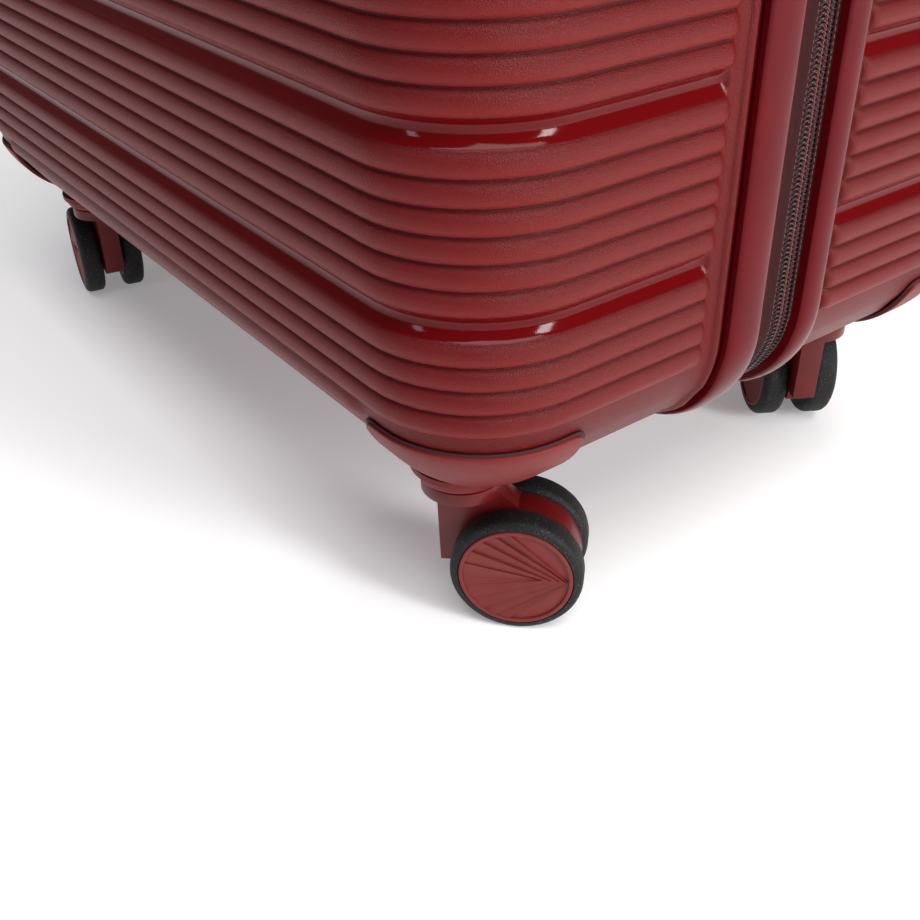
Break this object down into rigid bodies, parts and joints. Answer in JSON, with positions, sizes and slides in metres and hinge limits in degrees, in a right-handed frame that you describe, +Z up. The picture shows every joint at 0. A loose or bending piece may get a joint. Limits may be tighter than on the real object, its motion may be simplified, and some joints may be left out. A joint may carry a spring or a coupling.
{
  "type": "hard-shell spinner suitcase",
  "caption": "Ribbed hard-shell suitcase with a zip, fabric hinge, twin-wheel casters, pull-up handle, carry handles and combination lock.",
  "frame": {"origin": "on the floor, under the middle of the standing case", "axes": "+Z up, X along the wide faces with the zip's opening side on +X, Y along the depth with the opening lid on -Y"},
  "size_m": [0.502, 0.31, 0.7508],
  "materials": {
    "ribbed_shell": "fine-grained burgundy polypropylene",
    "gloss_bead": "polished red bead",
    "woven_tape": "herringbone zip tape",
    "zip_coil": "nylon coil",
    "zip_metal": "dark enamelled zinc",
    "lock_plastic": "satin black",
    "lock_metal": "satin red",
    "dial_plastic": "black with white numbers",
    "tube_aluminium": "anodised",
    "handle_plastic": "fine-grained burgundy",
    "button_plastic": "black",
    "lining_fabric": "dark grey woven polyester",
    "webbing": "black webbing",
    "foot_plastic": "burgundy",
    "guard_plastic": "smooth burgundy",
    "fork_plastic": "smooth red",
    "axle_steel": "plain",
    "hub_plastic": "smooth red",
    "tyre_rubber": "black rubber"
  },
  "bodies": {
    "rear_case": {"rear_shell": "ribbed_shell", "rear_edge_trim": "gloss_bead", "rear_zip_tape": "woven_tape", "rear_zip_teeth": "zip_coil", "hinge_gusset": "woven_tape", "outer_tubes": "tube_aluminium", "handle_bezel": "handle_plastic", "top_handle_base": "handle_plastic", "side_handle_base": "handle_plastic", "rear_lining": "lining_fabric", "packing_straps": "webbing", "rear_side_feet": "foot_plastic", "wheel_housing_rear_right": "guard_plastic", "wheel_housing_rear_left": "guard_plastic"},
    "front_lid": {"front_shell": "ribbed_shell", "front_edge_trim": "gloss_bead", "front_zip_tape": "woven_tape", "front_zip_teeth": "zip_coil", "front_lining": "lining_fabric", "lock_body": "lock_plastic", "front_side_feet": "foot_plastic", "wheel_housing_front_right": "guard_plastic", "wheel_housing_front_left": "guard_plastic"},
    "trolley": {"inner_tubes": "tube_aluminium", "trolley_grip": "handle_plastic"},
    "grip_release": {"grip_button": "button_plastic"},
    "top_carry_handle": {"top_handle": "handle_plastic"},
    "side_carry_handle": {"side_handle": "handle_plastic"},
    "lock_release": {"lock_button": "lock_metal"},
    "dial_1": {"lock_dial_1": "dial_plastic"},
    "dial_2": {"lock_dial_2": "dial_plastic"},
    "dial_3": {"lock_dial_3": "dial_plastic"},
    "slider_upper": {"zip_slider_upper": "zip_metal"},
    "pull_upper": {"zip_pull_upper": "zip_metal"},
    "slider_lower": {"zip_slider_lower": "zip_metal"},
    "pull_lower": {"zip_pull_lower": "zip_metal"},
    "swivel_front_right": {"caster_fork_front_right": "fork_plastic", "caster_axle_front_right": "axle_steel"},
    "wheel_front_right_outer": {"wheel_hub_front_right_outer": "hub_plastic", "tyre_front_right_outer": "tyre_rubber"},
    "wheel_front_right_inner": {"wheel_hub_front_right_inner": "hub_plastic", "tyre_front_right_inner": "tyre_rubber"},
    "swivel_front_left": {"caster_fork_front_left": "fork_plastic", "caster_axle_front_left": "axle_steel"},
    "wheel_front_left_outer": {"wheel_hub_front_left_outer": "hub_plastic", "tyre_front_left_outer": "tyre_rubber"},
    "wheel_front_left_inner": {"wheel_hub_front_left_inner": "hub_plastic", "tyre_front_left_inner": "tyre_rubber"},
    "swivel_rear_right": {"caster_fork_rear_right": "fork_plastic", "caster_axle_rear_right": "axle_steel"},
    "wheel_rear_right_outer": {"wheel_hub_rear_right_outer": "hub_plastic", "tyre_rear_right_outer": "tyre_rubber"},
    "wheel_rear_right_inner": {"wheel_hub_rear_right_inner": "hub_plastic", "tyre_rear_right_inner": "tyre_rubber"},
    "swivel_rear_left": {"caster_fork_rear_left": "fork_plastic", "caster_axle_rear_left": "axle_steel"},
    "wheel_rear_left_outer": {"wheel_hub_rear_left_outer": "hub_plastic", "tyre_rear_left_outer": "tyre_rubber"},
    "wheel_rear_left_inner": {"wheel_hub_rear_left_inner": "hub_plastic", "tyre_rear_left_inner": "tyre_rubber"}
  },
  "joints": [
    {"name": "lid_hinge", "type": "hinge", "parent": "rear_case", "child": "front_lid", "pos_m": [-0.2515, 0.0045, 0.41], "axis": [0, 0, -1], "range_deg": [0, 180]},
    {"name": "trolley_slide", "type": "slide", "parent": "rear_case", "child": "trolley", "axis": [0, 0, 1], "range_m": [0, 0.35]},
    {"name": "grip_button_press", "type": "slide", "parent": "trolley", "child": "grip_release", "axis": [0, 0, -1], "range_m": [0, 0.0025], "stiffness_N_per_m": 400},
    {"name": "top_handle_lift", "type": "slide", "parent": "rear_case", "child": "top_carry_handle", "axis": [0, 0, 1], "range_m": [0, 0.009], "stiffness_N_per_m": 250},
    {"name": "side_handle_lift", "type": "slide", "parent": "rear_case", "child": "side_carry_handle", "axis": [1, 0, 0], "range_m": [0, 0.009], "stiffness_N_per_m": 250},
    {"name": "lock_button_press", "type": "slide", "parent": "front_lid", "child": "lock_release", "axis": [-1, 0, 0], "range_m": [0, 0.002], "stiffness_N_per_m": 400},
    {"name": "dial_1_turn", "type": "hinge", "parent": "front_lid", "child": "dial_1", "pos_m": [0.2443, -0.058, 0.386], "axis": [0, 0, 1], "continuous": true},
    {"name": "dial_2_turn", "type": "hinge", "parent": "front_lid", "child": "dial_2", "pos_m": [0.2443, -0.058, 0.396], "axis": [0, 0, 1], "continuous": true},
    {"name": "dial_3_turn", "type": "hinge", "parent": "front_lid", "child": "dial_3", "pos_m": [0.2443, -0.058, 0.406], "axis": [0, 0, 1], "continuous": true},
    {"name": "slider_upper_run", "type": "slide", "parent": "rear_case", "child": "slider_upper", "axis": [0, 0, 1], "range_m": [0, 0.19]},
    {"name": "pull_upper_swing", "type": "hinge", "parent": "slider_upper", "child": "pull_upper", "pos_m": [0.2496, 0.0045, 0.468], "axis": [0, -1, 0], "range_deg": [0, 170]},
    {"name": "slider_lower_run", "type": "slide", "parent": "rear_case", "child": "slider_lower", "axis": [0, 0, -1], "range_m": [0, 0.19]},
    {"name": "pull_lower_swing", "type": "hinge", "parent": "slider_lower", "child": "pull_lower", "pos_m": [0.2496, 0.0045, 0.352], "axis": [0, -1, 0], "range_deg": [0, 170]},
    {"name": "swivel_front_right_turn", "type": "hinge", "parent": "front_lid", "child": "swivel_front_right", "pos_m": [0.187, -0.108, 0.064], "axis": [0, 0, 1], "continuous": true},
    {"name": "wheel_front_right_outer_roll", "type": "hinge", "parent": "swivel_front_right", "child": "wheel_front_right_outer", "pos_m": [0.20426, -0.09133, 0.0275], "axis": [0.6947, -0.7193, 0], "continuous": true},
    {"name": "wheel_front_right_inner_roll", "type": "hinge", "parent": "swivel_front_right", "child": "wheel_front_right_inner", "pos_m": [0.20426, -0.09133, 0.0275], "axis": [0.6947, -0.7193, 0], "continuous": true},
    {"name": "swivel_front_left_turn", "type": "hinge", "parent": "front_lid", "child": "swivel_front_left", "pos_m": [-0.187, -0.108, 0.064], "axis": [0, 0, 1], "continuous": true},
    {"name": "wheel_front_left_outer_roll", "type": "hinge", "parent": "swivel_front_left", "child": "wheel_front_left_outer", "pos_m": [-0.21048, -0.10301, 0.0275], "axis": [0.2079, 0.9781, 0], "continuous": true},
    {"name": "wheel_front_left_inner_roll", "type": "hinge", "parent": "swivel_front_left", "child": "wheel_front_left_inner", "pos_m": [-0.21048, -0.10301, 0.0275], "axis": [0.2079, 0.9781, 0], "continuous": true},
    {"name": "swivel_rear_right_turn", "type": "hinge", "parent": "rear_case", "child": "swivel_rear_right", "pos_m": [0.187, 0.108, 0.064], "axis": [0, 0, 1], "continuous": true},
    {"name": "wheel_rear_right_outer_roll", "type": "hinge", "parent": "swivel_rear_right", "child": "wheel_rear_right_outer", "pos_m": [0.1671, 0.12142, 0.0275], "axis": [0.5592, 0.829, 0], "continuous": true},
    {"name": "wheel_rear_right_inner_roll", "type": "hinge", "parent": "swivel_rear_right", "child": "wheel_rear_right_inner", "pos_m": [0.1671, 0.12142, 0.0275], "axis": [0.5592, 0.829, 0], "continuous": true},
    {"name": "swivel_rear_left_turn", "type": "hinge", "parent": "rear_case", "child": "swivel_rear_left", "pos_m": [-0.187, 0.108, 0.064], "axis": [0, 0, 1], "continuous": true},
    {"name": "wheel_rear_left_outer_roll", "type": "hinge", "parent": "swivel_rear_left", "child": "wheel_rear_left_outer", "pos_m": [-0.20875, 0.09786, 0.0275], "axis": [-0.4226, 0.9063, 0], "continuous": true},
    {"name": "wheel_rear_left_inner_roll", "type": "hinge", "parent": "swivel_rear_left", "child": "wheel_rear_left_inner", "pos_m": [-0.20875, 0.09786, 0.0275], "axis": [-0.4226, 0.9063, 0], "continuous": true}
  ]
}
